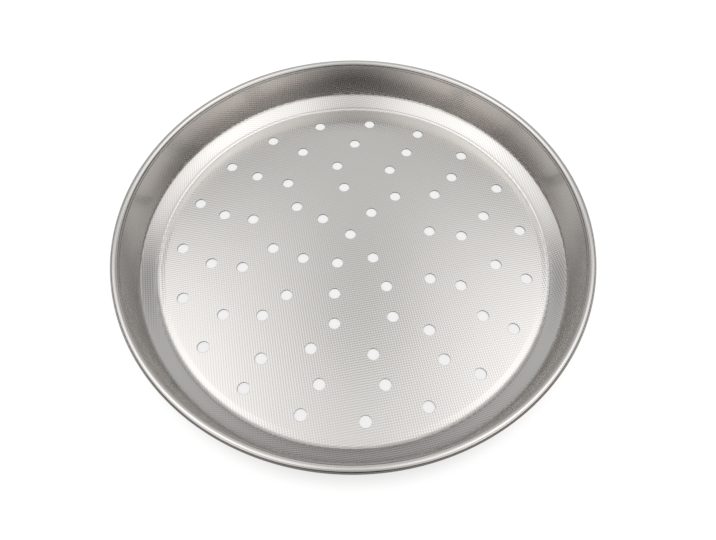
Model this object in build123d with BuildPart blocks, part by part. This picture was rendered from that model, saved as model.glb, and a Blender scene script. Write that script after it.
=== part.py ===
from build123d import *
import os
from math import asin, atan2, cos, degrees, radians, sin, sqrt, tan

# Round perforated pizza pan, pressed from one sheet disc. Its rim is rolled outwards
# round a wire ring. Millimetres, Z up. The origin is the middle of the face that the
# pan stands on, and heights are taken from there. The profile is that of the food side,
# and the sheet lies under it.

# Sheet and rim wire
sheet_thickness = 0.8
wire_diameter = 2.4
wire_clearance = 0.05
wire_butt_gap = 0.6

# Whole pan, over the rolled rim. The depth is that of the raised floor.
outer_diameter = 236.6
pan_depth = 25.4

# Rolled rim and flared wall. The wall is a little bowed: it leaves the crease at the lower
# angle and steepens towards the rim. A straight stretch is left between the bow and the
# rim's neck, and the bow is no wider than that allows.
rim_overhang = 7.8
rim_inset = 0.4
neck_bend = 1.0
curl_end_angle = -112
lower_wall_rise = 10.5
lower_wall_angle = 73.8
wall_bend = 80.0
least_straight_wall = 0.05

# Sloping band from the crease at the foot of the wall in to the standing ring
crease_bend = 2.6
band_run = 6.6
band_rise = 5.0
band_foot_rise = 0.8
band_foot_bend = 2.9

# Standing ring, pressed down round the raised floor. Its width is taken between the
# corners, and the bends leave a narrower flat.
ring_depth = 0.2
ring_width = 1.5
ring_outer_angle = 40
ring_outer_bend = 2.6
ring_inner_angle = 5
ring_inner_bend = 1.3
floor_edge_bend = 1.0

# Perforations, in evenly spaced rings. The second ring leaves one place blank, so it has
# a hole fewer than it has places.
hole_diameter = 6.0
first_ring_radius = 11.0
last_ring_to_floor_edge = 7.9
ring_places = (3, 6, 9, 12, 15, 19)
ring_holes = (3, 5, 9, 12, 15, 19)
ring_start_angles = (99.4, 69.0, 97.4, 129.5, 113.7, 103.1)

FULL_TURN = 360

# Corners of the profile, from the crease at the foot of the wall in to the middle
floor_top = sheet_thickness + ring_depth
foot_height = floor_top + band_foot_rise
foot_run = (foot_height - sheet_thickness) / tan(radians(ring_outer_angle))
ring_inner_run = ring_depth / tan(radians(ring_inner_angle))
lower_wall_run = lower_wall_rise / tan(radians(lower_wall_angle))

crease = Vector(outer_diameter / 2 - rim_overhang, floor_top + band_rise)
wall_middle = crease + Vector(lower_wall_run, lower_wall_rise)
band_foot = Vector(crease.X - band_run, foot_height)
ring_outer = Vector(band_foot.X - foot_run, sheet_thickness)
ring_inner = Vector(ring_outer.X - ring_width, sheet_thickness)
floor_edge = Vector(ring_inner.X - ring_inner_run, floor_top)
floor_centre = Vector(0, floor_top)

# Rolled rim. The sheet wraps the wire in a round curl. The wall stands off the middle of
# the curl by less than the curl's radius, and a small reverse bend, the neck, joins them.
curl_radius = wire_diameter / 2 + wire_clearance + sheet_thickness
curl_centre = Vector(
    outer_diameter / 2 - curl_radius, floor_top + pan_depth - curl_radius
)
wall_to_centre = curl_radius - rim_inset

wall_to_curl = curl_centre - wall_middle
wall_angle = atan2(wall_to_curl.Y, wall_to_curl.X) + asin(
    wall_to_centre / wall_to_curl.length
)
up_wall = Vector(cos(wall_angle), sin(wall_angle))
out_of_wall = Vector(sin(wall_angle), -cos(wall_angle))

neck_to_curl = curl_radius + neck_bend
neck_to_centre = wall_to_centre + neck_bend
neck_drop = sqrt(neck_to_curl**2 - neck_to_centre**2)
neck_centre = curl_centre - out_of_wall * neck_to_centre - up_wall * neck_drop
wall_top = neck_centre + out_of_wall * neck_bend

wall_turn = abs(wall_angle - radians(lower_wall_angle))
room_for_bow = (wall_top - wall_middle).length - least_straight_wall
widest_wall_bend = room_for_bow / tan(wall_turn / 2)

neck_start_angle = degrees(wall_angle) - FULL_TURN / 4
neck_end_angle = degrees(
    atan2(curl_centre.Y - neck_centre.Y, curl_centre.X - neck_centre.X)
)
curl_start_angle = neck_end_angle + FULL_TURN / 2

corners = (
    floor_centre,
    floor_edge,
    ring_inner,
    ring_outer,
    band_foot,
    crease,
    wall_middle,
    wall_top,
)
bends = (
    floor_edge_bend,
    ring_inner_bend,
    ring_outer_bend,
    band_foot_bend,
    crease_bend,
    min(wall_bend, widest_wall_bend),
)


def draw_side(depth):
    """Draws the side of the sheet this far under the food side. Returns its two ends."""
    ways = [(b - a).normalized() for a, b in zip(corners, corners[1:])]
    unders = [Vector(way.Y, -way.X) for way in ways]
    points = [corners[0] + unders[0] * depth]
    radii = []
    for corner, bend, way, under, next_way, next_under in zip(
        corners[1:], bends, ways, unders, ways[1:], unders[1:]
    ):
        mitre = (under + next_under) / (1 + under.dot(next_under))
        turns_up = way.cross(next_way).Z > 0
        points.append(corner + mitre * depth)
        radii.append(bend + depth if turns_up else bend - depth)
    points.append(corners[-1] + unders[-1] * depth)

    profile = FilletPolyline(*points, radius=radii)
    CenterArc(
        neck_centre,
        neck_bend + depth,
        neck_start_angle,
        neck_end_angle - neck_start_angle,
    )
    curl = CenterArc(
        curl_centre,
        curl_radius - depth,
        curl_start_angle,
        curl_end_angle - curl_start_angle,
    )
    return profile @ 0, curl @ 1


def hole_places():
    """Centres of the perforations, ring by ring from the middle outwards."""
    last_ring_radius = floor_edge.X - last_ring_to_floor_edge
    ring_pitch = (last_ring_radius - first_ring_radius) / (len(ring_places) - 1)
    places = []
    for ring, (steps, holes, start) in enumerate(
        zip(ring_places, ring_holes, ring_start_angles)
    ):
        radius = first_ring_radius + ring * ring_pitch
        for hole in range(holes):
            angle = radians(start + hole * FULL_TURN / steps)
            places.append((radius * cos(angle), radius * sin(angle)))
    return places


# Pan: the sheet's section turned once round, then punched
with BuildPart() as pan_shell:
    with BuildSketch(Plane.XZ):
        with BuildLine():
            food_start, food_end = draw_side(0)
            back_start, back_end = draw_side(sheet_thickness)
            Line(food_start, back_start)
            Line(food_end, back_end)
        make_face()
    revolve(axis=Axis.Z)
    with BuildSketch(Plane.XY.offset(floor_top)):
        with Locations(*hole_places()):
            Circle(hole_diameter / 2)
    extrude(amount=-sheet_thickness, mode=Mode.SUBTRACT)
pan_shell.part.label = "pan_shell"

# Rim wire: a round wire bent to a ring inside the curl, with its ends butted
butt_angle = degrees(wire_butt_gap / curl_centre.X)
with BuildPart() as rim_wire:
    with BuildSketch(Plane.XZ):
        with Locations(curl_centre):
            Circle(wire_diameter / 2)
    revolve(axis=Axis.Z, revolution_arc=FULL_TURN - butt_angle)
rim_wire.part.label = "rim_wire"

os.makedirs("parts", exist_ok=True)
export_step(pan_shell.part, "parts/pan_shell.step")
export_step(rim_wire.part, "parts/rim_wire.step")
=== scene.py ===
from math import atan2, ceil, cos, hypot, pi, radians, sin, sqrt, tan

import bpy
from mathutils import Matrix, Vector
from mathutils.geometry import delaunay_2d_cdt


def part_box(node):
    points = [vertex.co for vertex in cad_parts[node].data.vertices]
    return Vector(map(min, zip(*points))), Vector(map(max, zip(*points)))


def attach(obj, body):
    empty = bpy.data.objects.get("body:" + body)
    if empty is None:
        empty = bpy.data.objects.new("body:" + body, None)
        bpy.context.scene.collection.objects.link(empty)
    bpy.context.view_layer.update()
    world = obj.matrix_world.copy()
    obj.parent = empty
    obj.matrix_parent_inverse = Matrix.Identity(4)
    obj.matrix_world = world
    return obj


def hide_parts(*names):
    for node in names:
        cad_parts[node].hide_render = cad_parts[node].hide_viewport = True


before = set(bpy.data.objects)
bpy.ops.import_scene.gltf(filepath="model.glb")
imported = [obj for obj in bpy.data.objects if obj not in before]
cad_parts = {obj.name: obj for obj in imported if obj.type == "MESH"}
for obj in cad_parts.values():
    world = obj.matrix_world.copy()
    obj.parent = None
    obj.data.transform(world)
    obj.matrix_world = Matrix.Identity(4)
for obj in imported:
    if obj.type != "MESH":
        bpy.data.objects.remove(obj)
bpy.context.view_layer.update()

MM = 0.001
TURN = 2 * pi

# Sizes of the pan, the same as in its CAD model
SHEET = 0.8 * MM
WIRE_DIAMETER = 2.4 * MM
WIRE_CLEARANCE = 0.05 * MM
PAN_DEPTH = 25.4 * MM
RIM_OVERHANG = 7.8 * MM
RIM_INSET = 0.4 * MM
NECK_BEND = 1.0 * MM
CURL_END_ANGLE = radians(-112)
LOWER_WALL_RISE = 10.5 * MM
LOWER_WALL_ANGLE = radians(73.8)
WALL_BEND = 80.0 * MM
CREASE_BEND = 2.6 * MM
BAND_RUN = 6.6 * MM
BAND_RISE = 5.0 * MM
BAND_FOOT_RISE = 0.8 * MM
BAND_FOOT_BEND = 2.9 * MM
RING_DEPTH = 0.2 * MM
RING_WIDTH = 1.5 * MM
RING_OUTER_ANGLE = radians(40)
RING_OUTER_BEND = 2.6 * MM
RING_INNER_ANGLE = radians(5)
RING_INNER_BEND = 1.3 * MM
FLOOR_EDGE_BEND = 1.0 * MM
HOLE_DIAMETER = 6.0 * MM
FIRST_RING_RADIUS = 11.0 * MM
LAST_RING_TO_FLOOR_EDGE = 7.9 * MM
RING_PLACES = (3, 6, 9, 12, 15, 19)
RING_HOLES = (3, 5, 9, 12, 15, 19)
RING_START_ANGLES = tuple(radians(a) for a in (99.4, 69.0, 97.4, 129.5, 113.7, 103.1))

# Edges of the holes: rounded where the punch went in, broken out a little underneath
PUNCH_ROUND = 0.12 * MM
PUNCH_STEPS = 4
FLAT_RIM = 0.03 * MM
BREAK_OUT = 0.07 * MM

# The shell's mesh. The bent part of the sheet is turned round the axis. The flat floor is
# filled with triangles on a staggered grid, and each hole in it has a collar of quads. Each
# vertex keeps its place on the flat sheet under the name below.
FLAT_SHEET = "flat_sheet"
COLUMNS = 432
ARC_STEP = radians(8)
LEAST_ARC_STEPS = 2
LONGEST_ROW = 3.0 * MM
SHARP_ANGLE = radians(35)
HOLE_SIDES = 40
HOLE_COLLAR = 0.5 * MM
FLOOR_GRID = 4.0 * MM
GRID_CLEARANCE = 1.2 * MM

# The triangulation of the floor: what it gives back, and how near in millimetres two points
# count as one
INSIDE_WITH_HOLES = 2
SAME_POINT = 1e-5

# Camera, from the photograph. Its lens and sensor are in millimetres, and its place is
# taken from the middle of the face that the pan stands on.
FOCAL_LENGTH = 29.38
SENSOR_WIDTH = 36.0
NEAREST_SEEN = 10 * MM
CAMERA_PLACE = Vector((2.3, -162.3, 266.1)) * MM
CAMERA_TILT = radians(29.63)


# Section of the sheet. Its points are (radius, height).


def rim_radius():
    """The outer radius of the CAD model, whose box the shell stays inside."""
    low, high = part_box("pan_shell")
    return min(-low.x, -low.y, high.x, high.y)


def pan_corners():
    """Corners of the food side from the middle of the floor to the bow in the wall, and
    the middle and radius of the curl."""
    floor_top = SHEET + RING_DEPTH
    foot_height = floor_top + BAND_FOOT_RISE
    crease = Vector((rim_radius() - RIM_OVERHANG, floor_top + BAND_RISE))
    lower_wall_run = LOWER_WALL_RISE / tan(LOWER_WALL_ANGLE)
    wall_middle = crease + Vector((lower_wall_run, LOWER_WALL_RISE))
    band_foot = Vector((crease.x - BAND_RUN, foot_height))
    foot_run = (foot_height - SHEET) / tan(RING_OUTER_ANGLE)
    ring_outer = Vector((band_foot.x - foot_run, SHEET))
    ring_inner = Vector((ring_outer.x - RING_WIDTH, SHEET))
    floor_edge = Vector((ring_inner.x - RING_DEPTH / tan(RING_INNER_ANGLE), floor_top))
    corners = [Vector((0, floor_top)), floor_edge, ring_inner, ring_outer, band_foot]
    corners += [crease, wall_middle]

    curl_radius = WIRE_DIAMETER / 2 + WIRE_CLEARANCE + SHEET
    curl_centre = Vector((rim_radius() - curl_radius, floor_top + PAN_DEPTH - curl_radius))
    return corners, curl_centre, curl_radius


def arc(centre, radius, start, end):
    """Points on an arc, both ends included."""
    turn = abs(end - start)
    steps = max(LEAST_ARC_STEPS, ceil(turn / ARC_STEP), ceil(turn * radius / LONGEST_ROW))
    angles = [start + (end - start) * i / steps for i in range(steps + 1)]
    return [centre + Vector((cos(a), sin(a))) * radius for a in angles]


def bent_line(corners, bends, depth):
    """Points of the bends between these corners, this far under the line through them."""
    points = []
    ways = [(b - a).normalized() for a, b in zip(corners, corners[1:])]
    for corner, bend, way, onward in zip(corners[1:], bends, ways, ways[1:]):
        turn = atan2(way.x * onward.y - way.y * onward.x, way.dot(onward))
        side = 1 if turn > 0 else -1
        inwards = Vector((-way.y, way.x)) * side
        start = corner - way * bend * tan(abs(turn) / 2)
        centre = start + inwards * bend
        angle = atan2(-inwards.y, -inwards.x)
        points += arc(centre, bend + depth * side, angle, angle + turn)
    return points


def in_rows(points):
    """The same line with long stretches cut into rows."""
    rows = [points[0]]
    for a, b in zip(points, points[1:]):
        steps = max(1, ceil((b - a).length / LONGEST_ROW))
        rows += [a.lerp(b, i / steps) for i in range(1, steps + 1)]
    return rows


def side_of_sheet(depth):
    """Points of the side of the sheet this far under the food side, from the end of the
    flat floor to the end of the curl."""
    corners, curl_centre, curl_radius = pan_corners()
    bends = [FLOOR_EDGE_BEND, RING_INNER_BEND, RING_OUTER_BEND, BAND_FOOT_BEND]
    bends += [CREASE_BEND, WALL_BEND]

    off = curl_radius - RIM_INSET
    to_curl = curl_centre - corners[-1]
    wall_angle = atan2(to_curl.y, to_curl.x) + atan2(off, sqrt(to_curl.length**2 - off**2))
    up_wall = Vector((cos(wall_angle), sin(wall_angle)))
    out_of_wall = Vector((sin(wall_angle), -cos(wall_angle)))
    drop = sqrt((curl_radius + NECK_BEND) ** 2 - (off + NECK_BEND) ** 2)
    neck_centre = curl_centre - out_of_wall * (off + NECK_BEND) - up_wall * drop
    neck_end = atan2(curl_centre.y - neck_centre.y, curl_centre.x - neck_centre.x)
    wall_top = neck_centre + out_of_wall * NECK_BEND

    points = bent_line(corners + [wall_top], bends, depth)
    points.append(wall_top + out_of_wall * depth)
    points += arc(neck_centre, NECK_BEND + depth, wall_angle - TURN / 4, neck_end)[1:]
    points += arc(curl_centre, curl_radius - depth, neck_end + TURN / 2, CURL_END_ANGLE)[1:]
    return in_rows(points)


def laid_flat(side, start):
    """Each point of the side after its first, with how far from the middle it lay on the
    flat sheet. The side begins this far out."""
    pairs, reach = [], start
    for last, point in zip(side, side[1:]):
        reach += (point - last).length
        pairs.append((point, reach))
    return pairs


# Plan of the floor


def ring_of(centre, radius, sides):
    """Points of a circle."""
    angles = [TURN * i / sides for i in range(sides)]
    return [centre + Vector((cos(a), sin(a))) * radius for a in angles]


def hole_places():
    """Centres of the perforations."""
    last_ring_radius = pan_corners()[0][1].x - LAST_RING_TO_FLOOR_EDGE
    pitch = (last_ring_radius - FIRST_RING_RADIUS) / (len(RING_PLACES) - 1)
    places = []
    for ring, (steps, holes, start) in enumerate(
        zip(RING_PLACES, RING_HOLES, RING_START_ANGLES)
    ):
        radius = FIRST_RING_RADIUS + ring * pitch
        angles = [start + hole * TURN / steps for hole in range(holes)]
        places += [Vector((radius * cos(a), radius * sin(a))) for a in angles]
    return places


def floor_grid(edge_radius, holes, clear):
    """Points of a grid that stay clear of the floor's edge and of the holes."""
    reach = int(edge_radius / FLOOR_GRID)
    steps = range(-reach, reach + 1)
    spots = [
        Vector(((i + j % 2 / 2) * FLOOR_GRID, j * FLOOR_GRID)) for i in steps for j in steps
    ]
    return [
        spot
        for spot in spots
        if spot.length < edge_radius - GRID_CLEARANCE
        and all((spot - place).length > clear for place in holes)
    ]


def floor_plan(edge_radius, holes):
    """(points, faces) of the flat floor between its edge and the holes' collars. The first
    points are the edge's, and then each collar's."""
    collar = HOLE_DIAMETER / 2 + HOLE_COLLAR
    points = ring_of(Vector((0, 0)), edge_radius, COLUMNS)
    loops = [range(COLUMNS)]
    for place in holes:
        loops.append(range(len(points), len(points) + HOLE_SIDES))
        points += ring_of(place, collar, HOLE_SIDES)
    edges = [(loop[i - 1], loop[i]) for loop in loops for i in range(len(loop))]
    points += floor_grid(edge_radius, holes, collar + GRID_CLEARANCE)

    spots, _, faces, *_ = delaunay_2d_cdt(
        [p / MM for p in points], edges, [], INSIDE_WITH_HOLES, SAME_POINT
    )
    assert len(spots) == len(points), "the floor's edges cross"
    spots = [p * MM for p in spots]
    # A face is left out when its middle is inside a collar, whose sides are straight
    inside = collar * cos(pi / HOLE_SIDES)
    solid = []
    for face in faces:
        middle = sum((spots[i] for i in face), Vector((0, 0))) / len(face)
        if all((middle - place).length > inside for place in holes):
            solid.append(face)
    return spots, solid


# The shell


class Shell:
    """Gathers the shell's vertices, with their places on the flat sheet, and faces."""

    def __init__(self):
        self.places, self.flat, self.faces = [], [], []

    def row(self, spots, height, reach=None):
        """Adds a vertex over each spot. The reach is how far from the middle the row lay on
        the flat sheet, if it has moved since."""
        first = len(self.places)
        for spot in spots:
            share = 1 if reach is None else reach / hypot(*spot)
            self.places.append((spot.x, spot.y, height))
            self.flat.append((spot.x * share, spot.y * share, 0))
        return list(range(first, len(self.places)))

    def band(self, first, second):
        """Quads between two closed rows of as many vertices."""
        count = len(first)
        for i in range(count):
            j = (i + 1) % count
            self.faces.append((first[i], first[j], second[j], second[i]))

    def mesh(self, name):
        mesh = bpy.data.meshes.new(name)
        mesh.from_pydata(self.places, [], self.faces)
        mesh.validate()
        layer = mesh.attributes.new(FLAT_SHEET, "FLOAT_VECTOR", "POINT")
        layer.data.foreach_set("vector", [c for place in self.flat for c in place])
        mesh.shade_smooth()
        mesh.set_sharp_from_angle(angle=SHARP_ANGLE)
        return mesh


def punch_holes(shell, holes, upper, lower, floor_top, floor_under):
    """Joins the two sides of the floor through each hole. The holes' loops follow that of
    the floor's edge."""
    radius = HOLE_DIAMETER / 2
    section = [(radius + PUNCH_ROUND + FLAT_RIM, floor_top)]
    for step in range(PUNCH_STEPS + 1):
        angle = step / PUNCH_STEPS * TURN / 4
        height = floor_top - PUNCH_ROUND * (1 - cos(angle))
        section.append((radius + PUNCH_ROUND * (1 - sin(angle)), height))
    section += [(radius, floor_under + BREAK_OUT), (radius + BREAK_OUT, floor_under)]

    for number, place in enumerate(holes):
        start = COLUMNS + number * HOLE_SIDES
        loop = slice(start, start + HOLE_SIDES)
        row = upper[loop]
        for ring_radius, height in section:
            new = shell.row(ring_of(place, ring_radius, HOLE_SIDES), height)
            shell.band(row, new)
            row = new
        shell.band(row, lower[loop])


def turn_section(shell, food, back, upper_edge, lower_edge):
    """Turns the bent part of the sheet round the axis, from the floor's upper edge out along
    the food side to the curl's end and along the back to the lower edge."""
    row = upper_edge
    for point, reach in laid_flat(food, food[0].x) + laid_flat(back, food[0].x)[::-1]:
        new = shell.row(ring_of(Vector((0, 0)), point.x, COLUMNS), point.y, reach)
        shell.band(new, row)
        row = new
    shell.band(lower_edge, row)


def build_pan():
    """The pan as one closed mesh."""
    food, back = side_of_sheet(0), side_of_sheet(SHEET)
    floor_top, floor_under = food[0].y, back[0].y
    holes = hole_places()
    spots, faces = floor_plan(food[0].x, holes)

    shell = Shell()
    upper, lower = shell.row(spots, floor_top), shell.row(spots, floor_under)
    for face in faces:
        shell.faces.append(tuple(upper[i] for i in face))
        shell.faces.append(tuple(lower[i] for i in reversed(face)))
    punch_holes(shell, holes, upper, lower, floor_top, floor_under)
    turn_section(shell, food, back, upper[:COLUMNS], lower[:COLUMNS])

    pan = bpy.data.objects.new("pan", shell.mesh("pan"))
    bpy.context.scene.collection.objects.link(pan)
    return pan


# Materials


class Graph:
    """A node tree, with short ways to add what the materials and the studio share."""

    def __init__(self, tree):
        self.nodes, self.links = tree.nodes, tree.links

    def plug(self, socket, value):
        """Gives an input a plain value or another node's output."""
        if isinstance(value, bpy.types.NodeSocket):
            self.links.new(value, socket)
        else:
            socket.default_value = value

    def math(self, operation, *values):
        node = self.nodes.new("ShaderNodeMath")
        node.operation = operation
        for socket, value in zip(node.inputs, values):
            self.plug(socket, value)
        return node.outputs[0]

    def length(self, vector):
        node = self.nodes.new("ShaderNodeVectorMath")
        node.operation = "LENGTH"
        self.plug(node.inputs[0], vector)
        return node.outputs["Value"]

    def split(self, vector):
        """The vector's outputs X, Y and Z."""
        node = self.nodes.new("ShaderNodeSeparateXYZ")
        self.plug(node.inputs[0], vector)
        return node.outputs

    def between(self, value, start, end):
        """0 up to the start and 1 from the end on, with a soft way between them."""
        node = self.nodes.new("ShaderNodeMapRange")
        node.interpolation_type = "SMOOTHSTEP"
        self.plug(node.inputs["From Min"], start)
        self.plug(node.inputs["From Max"], end)
        self.plug(node.inputs["Value"], value)
        return node.outputs[0]

    def mixed(self, share, first, second):
        node = self.nodes.new("ShaderNodeMix")
        node.data_type = "FLOAT"
        self.plug(node.inputs["Factor"], share)
        self.plug(node.inputs["A"], first)
        self.plug(node.inputs["B"], second)
        return node.outputs[0]

    def colored(self, value, first, second):
        """A colour between two stops of (value, colour)."""
        node = self.nodes.new("ShaderNodeValToRGB")
        for stop, (place, color) in zip(node.color_ramp.elements, (first, second)):
            stop.position, stop.color = place, color
        self.plug(node.inputs[0], value)
        return node.outputs[0]

    def noise(self, scale):
        node = self.nodes.new("ShaderNodeTexNoise")
        self.plug(node.inputs["Scale"], scale)
        return node

    def bump(self, height, relief, strength=1.0, normal=None):
        node = self.nodes.new("ShaderNodeBump")
        self.plug(node.inputs["Distance"], relief)
        self.plug(node.inputs["Strength"], strength)
        self.plug(node.inputs["Height"], height)
        if normal is not None:
            self.plug(node.inputs["Normal"], normal)
        return node.outputs[0]


def new_material(name):
    """A material, its graph and the surface input of its output."""
    material = bpy.data.materials.new(name)
    material.use_nodes = True
    graph = Graph(material.node_tree)
    graph.nodes.clear()
    output = graph.nodes.new("ShaderNodeOutputMaterial")
    return material, graph, output.inputs["Surface"]


def new_metal(name):
    """A bare metal, its graph and the inputs of its shader."""
    material, graph, surface = new_material(name)
    shader = graph.nodes.new("ShaderNodeBsdfPrincipled")
    graph.plug(shader.inputs["Metallic"], 1.0)
    graph.plug(surface, shader.outputs[0])
    return material, graph, shader.inputs


TEXTURE_PITCH = 1.22 * MM
TEXTURE_ANGLE = radians(11)
TEXTURE_RELIEF = 0.03 * MM
ROLL_START = 129.5 * MM
ROLL_FADE = 1.0 * MM
ROLLED_TEXTURE = 0.3
WAVE_SCALE = 45
WAVE_DETAIL = 1.0
WAVE_RELIEF = 0.05 * MM
# The valleys between the pearls are darker than the pearls' tops: partly painted shade in the
# hollows, partly duller metal there
VALLEY = (0.05, (0.63, 0.62, 0.605, 1))
PEARL = (0.6, (0.675, 0.665, 0.65, 1))
SHEET_ROUGHNESS = 0.1


def pearl_height(graph, place):
    """Height of the pressed pearls, from 0 to 1, at a place on the flat sheet."""
    turn = graph.nodes.new("ShaderNodeVectorRotate")
    turn.rotation_type = "Z_AXIS"
    graph.plug(turn.inputs["Angle"], -TEXTURE_ANGLE)
    graph.plug(turn.inputs["Vector"], place)
    axes = graph.split(turn.outputs[0])
    rows = []
    for axis in "XY":
        phase = graph.math("MULTIPLY", axes[axis], TURN / TEXTURE_PITCH)
        rows.append(graph.math("MULTIPLY_ADD", graph.math("COSINE", phase), 0.5, 0.5))
    return graph.math("MULTIPLY", *rows)


def sheet_metal():
    """Sheet with small round pearls pressed into it before it was formed."""
    material, graph, metal = new_metal("embossed_sheet")
    flat = graph.nodes.new("ShaderNodeAttribute")
    flat.attribute_name = FLAT_SHEET
    place = flat.outputs["Vector"]
    pearls = pearl_height(graph, place)

    # The sheet is never quite flat
    waves = graph.noise(WAVE_SCALE)
    graph.plug(waves.inputs["Detail"], WAVE_DETAIL)
    graph.plug(waves.inputs["Vector"], place)
    uneven = graph.bump(waves.outputs[0], WAVE_RELIEF)

    # Rolling the rim flattens the texture there
    rolled = graph.between(graph.length(place), ROLL_START, ROLL_START + ROLL_FADE)
    strength = graph.mixed(rolled, 1.0, ROLLED_TEXTURE)
    graph.plug(metal["Normal"], graph.bump(pearls, TEXTURE_RELIEF, strength, uneven))
    # Base colour darker in the valleys: partly painted shade in the hollows, partly duller
    # metal
    graph.plug(metal["Base Color"], graph.colored(pearls, VALLEY, PEARL))
    graph.plug(metal["Roughness"], SHEET_ROUGHNESS)
    return material


WIRE_COLOR = (0.5, 0.5, 0.51, 1)
WIRE_GRAIN_SCALE = 900
WIRE_ROUGHNESS = (0.3, 0.5)


def wire_metal():
    material, graph, metal = new_metal("drawn_wire")
    grain = graph.noise(WIRE_GRAIN_SCALE)
    graph.plug(metal["Base Color"], WIRE_COLOR)
    graph.plug(metal["Roughness"], graph.mixed(grain.outputs[0], *WIRE_ROUGHNESS))
    return material


# Studio

FLOOR_HALF_WIDTH = 4.0
FLOOR_COLOR = (0.25, 0.25, 0.25, 1)
# The floor's glow is cut back to paint shade: a painted shadow under the pan where the camera
# sees the floor, and painted shade close round the pan and in front of it where the metal
# reflects the floor
UNDER_PAN_RADIUS = 112 * MM
OPEN_FLOOR_RADIUS = 122 * MM
NEAR_FLOOR_RADIUS = 150 * MM
FAR_FLOOR_RADIUS = 300 * MM
PAINTED_SHADE_FRONT_START = 90 * MM
PAINTED_SHADE_FRONT_END = 150 * MM
UNDER_PAN_SHADOW_GLOW = 0.66
PAINTED_SHADE_SHEEN = 0.04
OPEN_FLOOR_GLOW = 0.84


def floor_material():
    """Pale paper that shows white to the camera and in the metal, with painted shade: a
    painted shadow under the pan and, in the metal, painted shade close round it and in front
    of it, where the photographer's dark falls."""
    material, graph, surface = new_material("studio_floor")
    place = graph.nodes.new("ShaderNodeNewGeometry").outputs["Position"]
    rays = graph.nodes.new("ShaderNodeLightPath").outputs
    radius = graph.length(place)

    # Painted shadow: the camera sees less glow on the floor under the pan, up to just past the
    # rim
    glow = graph.between(radius, UNDER_PAN_RADIUS, OPEN_FLOOR_RADIUS)
    glow = graph.mixed(glow, UNDER_PAN_SHADOW_GLOW, OPEN_FLOOR_GLOW)
    seen = graph.math("MULTIPLY", rays["Is Camera Ray"], glow)

    # Painted shade in the metal: the floor it reflects is nearly dark close round the pan,
    # brightening further out
    sheen = graph.between(radius, NEAR_FLOOR_RADIUS, FAR_FLOOR_RADIUS)
    sheen = graph.mixed(sheen, PAINTED_SHADE_SHEEN, OPEN_FLOOR_GLOW)
    # Painted shade in the metal: the floor in front of the pan, where the photographer's dark
    # falls, is as dark as close round the pan
    front = graph.between(graph.split(place)["Y"], -PAINTED_SHADE_FRONT_START, -PAINTED_SHADE_FRONT_END)
    sheen = graph.mixed(front, sheen, PAINTED_SHADE_SHEEN)
    mirrored = graph.math("MAXIMUM", rays["Is Glossy Ray"], rays["Is Transmission Ray"])
    mirrored = graph.math("MULTIPLY", mirrored, sheen)

    paper = graph.nodes.new("ShaderNodeBsdfDiffuse")
    graph.plug(paper.inputs["Color"], FLOOR_COLOR)
    light = graph.nodes.new("ShaderNodeEmission")
    graph.plug(light.inputs["Strength"], graph.math("MAXIMUM", seen, mirrored))
    both = graph.nodes.new("ShaderNodeAddShader")
    graph.plug(both.inputs[0], paper.outputs[0])
    graph.plug(both.inputs[1], light.outputs[0])
    graph.plug(surface, both.outputs[0])
    return material


# Brightness of the studio at bearings, in degrees from straight ahead of the camera round to
# behind it on either side, and at elevations from the horizon up. Large soft lamps hang
# overhead and to the sides, with a dimmer gap between them halfway up on either side of
# straight ahead. The room is dark near the horizon, most of all behind the camera, where
# the photographer stands.
ELEVATIONS = (0, 15, 27, 39, 51, 65, 78, 90)
STUDIO = (
    (0, (0.2, 0.4, 0.85, 0.7, 0.78, 0.66, 0.97, 0.93)),
    (20, (0.15, 0.5, 0.65, 0.45, 0.85, 1.1, 1.1, 0.93)),
    (40, (0.1, 0.45, 0.65, 0.35, 1.0, 1.45, 1.1, 0.93)),
    (60, (0.1, 0.3, 0.75, 0.9, 1.25, 1.6, 1.1, 0.93)),
    (90, (0.1, 0.15, 0.75, 1.05, 1.2, 1.75, 1.35, 0.93)),
    (135, (0.1, 0.35, 1.25, 0.9, 0.9, 1.4, 1.3, 0.93)),
    (180, (0.0, 0.05, 0.35, 0.6, 0.55, 0.78, 0.87, 0.93)),
)

# Straight up has no bearing, so the level part of a direction is never taken as less
LEAST_RUN = 0.001

# The low parts of the studio to the sides and behind are a little brown
PLAIN = (0, (1.01, 1.0, 0.99, 1))
BROWN = (1, (1.09, 1.0, 0.96, 1))
BROWN_ELEVATIONS = (45, 15)
BROWN_BEARINGS = (45, 80)


def by_elevation(graph, height, levels):
    """A level that follows those at the elevations, from the sine of the elevation."""
    node = graph.nodes.new("ShaderNodeFloatCurve")
    node.mapping.use_clip = False
    points = node.mapping.curves[0].points
    # A new point starts in the middle of the curve and is moved below
    while len(points) < len(levels):
        points.new(0.5, 0.5)
    for point, elevation, level in zip(points, ELEVATIONS, levels):
        point.location = (sin(radians(elevation)), level)
        point.handle_type = "AUTO_CLAMPED"
    node.mapping.update()
    graph.plug(node.inputs["Value"], height)
    return node.outputs[0]


def bearing_of(graph, axes):
    """Angle from straight ahead round to either side, whatever the elevation."""
    squares = [graph.math("MULTIPLY", axes[axis], axes[axis]) for axis in "XY"]
    run = graph.math("SQRT", graph.math("ADD", *squares))
    run = graph.math("MAXIMUM", run, LEAST_RUN)
    return graph.math("ARCCOSINE", graph.math("DIVIDE", axes["Y"], run))


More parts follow.
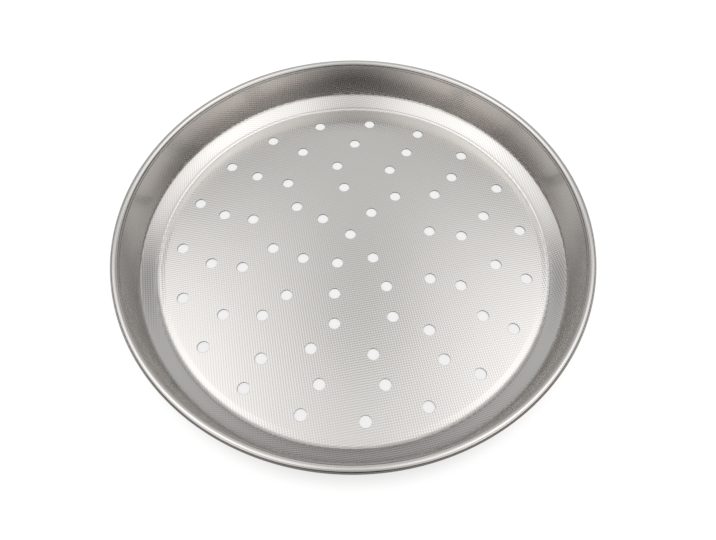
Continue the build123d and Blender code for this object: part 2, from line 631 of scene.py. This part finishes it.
def build_room():
    world = bpy.data.worlds.new("studio")
    world.use_nodes = True
    graph = Graph(world.node_tree)
    background = graph.nodes["Background"].inputs
    axes = graph.split(graph.nodes.new("ShaderNodeTexCoord").outputs["Generated"])
    height, bearing = axes["Z"], bearing_of(graph, axes)

    last, levels = STUDIO[0]
    level = by_elevation(graph, height, levels)
    for degrees, levels in STUDIO[1:]:
        share = graph.between(bearing, radians(last), radians(degrees))
        level = graph.mixed(share, level, by_elevation(graph, height, levels))
        last = degrees

    low = graph.between(height, *(sin(radians(a)) for a in BROWN_ELEVATIONS))
    aside = graph.between(bearing, *(radians(a) for a in BROWN_BEARINGS))
    brown = graph.math("MULTIPLY", low, aside)

    # The camera itself sees plain white
    seen = graph.nodes.new("ShaderNodeLightPath").outputs["Is Camera Ray"]
    graph.plug(background["Strength"], graph.mixed(seen, level, 1.0))
    graph.plug(background["Color"], graph.colored(graph.mixed(seen, brown, 0.0), PLAIN, BROWN))
    bpy.context.scene.world = world


def build_stage():
    reach = FLOOR_HALF_WIDTH
    corners = [(-reach, -reach, 0), (reach, -reach, 0), (reach, reach, 0), (-reach, reach, 0)]
    mesh = bpy.data.meshes.new("studio_floor")
    mesh.from_pydata(corners, [], [(0, 1, 2, 3)])
    floor = bpy.data.objects.new("studio_floor", mesh)
    floor.data.materials.append(floor_material())
    bpy.context.scene.collection.objects.link(floor)
    build_room()


def build_camera():
    data = bpy.data.cameras.new("camera")
    data.lens = FOCAL_LENGTH
    data.sensor_width = SENSOR_WIDTH
    data.clip_start = NEAREST_SEEN
    camera = bpy.data.objects.new("camera", data)
    camera.location = CAMERA_PLACE
    camera.rotation_euler = (CAMERA_TILT, 0, 0)
    bpy.context.scene.collection.objects.link(camera)
    bpy.context.scene.camera = camera


bpy.context.scene.view_settings.view_transform = "Standard"
build_camera()
build_stage()

pan = build_pan()
pan.data.materials.append(sheet_metal())
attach(pan, "root")
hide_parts("pan_shell")

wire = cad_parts["rim_wire"]
wire.data.materials.clear()
wire.data.materials.append(wire_metal())
